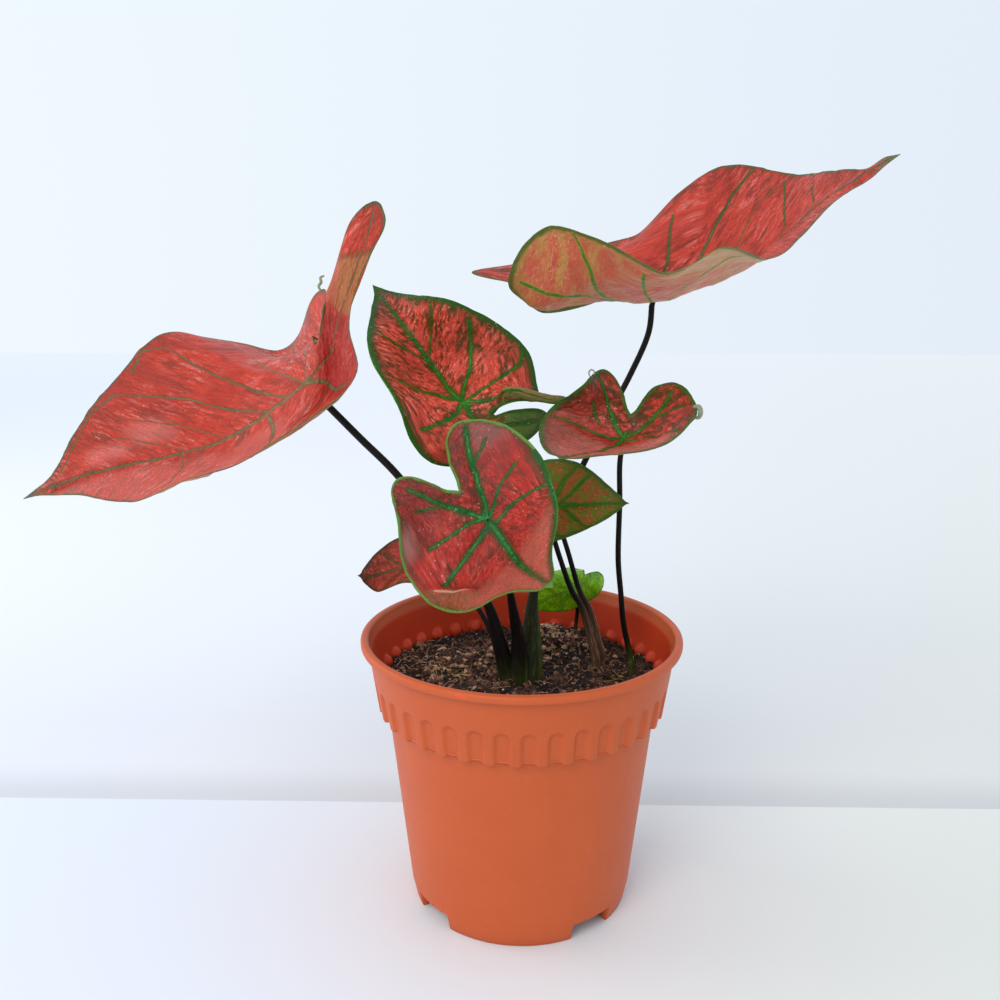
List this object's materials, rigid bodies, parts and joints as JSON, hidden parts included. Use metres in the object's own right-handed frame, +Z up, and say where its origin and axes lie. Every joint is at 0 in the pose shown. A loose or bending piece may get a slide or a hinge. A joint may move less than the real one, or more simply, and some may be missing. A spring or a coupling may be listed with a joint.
{
  "type": "potted caladium",
  "caption": "Potted caladium: heart-shaped red leaves with green veins on dark stalks, in a tapered plastic nursery pot with a scalloped band and notched feet.",
  "frame": {"origin": "on the floor, under the middle of the plant's bounding box", "axes": "+Z up; +X to the viewer's right, along the spread of the two largest leaves; +Y away from the viewer"},
  "size_m": [0.3558, 0.196, 0.3456],
  "materials": {
    "pot_plastic": "injection-moulded terracotta-coloured polypropylene, satin",
    "potting_mix": "moist dark potting mix with coir chips and perlite",
    "tuber_skin": "rough brown corky skin",
    "red_leaf": "red living leaf with green veins, satin, tan-pink underside",
    "olive_leaf": "green living leaf with red patches, satin",
    "green_leaf": "plain green young living leaf, satin",
    "dark_petiole": "smooth dark purple-brown leaf stalk, satin"
  },
  "bodies": {
    "root": {"pot": "pot_plastic", "soil": "potting_mix", "tuber": "tuber_skin", "blade_left": "red_leaf", "petiole_left": "dark_petiole", "blade_upright": "red_leaf", "petiole_upright": "dark_petiole", "blade_high": "red_leaf", "petiole_high": "dark_petiole", "blade_cupped": "red_leaf", "petiole_cupped": "dark_petiole", "blade_front": "red_leaf", "petiole_front": "dark_petiole", "blade_olive": "olive_leaf", "petiole_olive": "dark_petiole", "blade_green": "green_leaf", "petiole_green": "dark_petiole", "blade_low": "red_leaf", "petiole_low": "dark_petiole"}
  },
  "joints": []
}
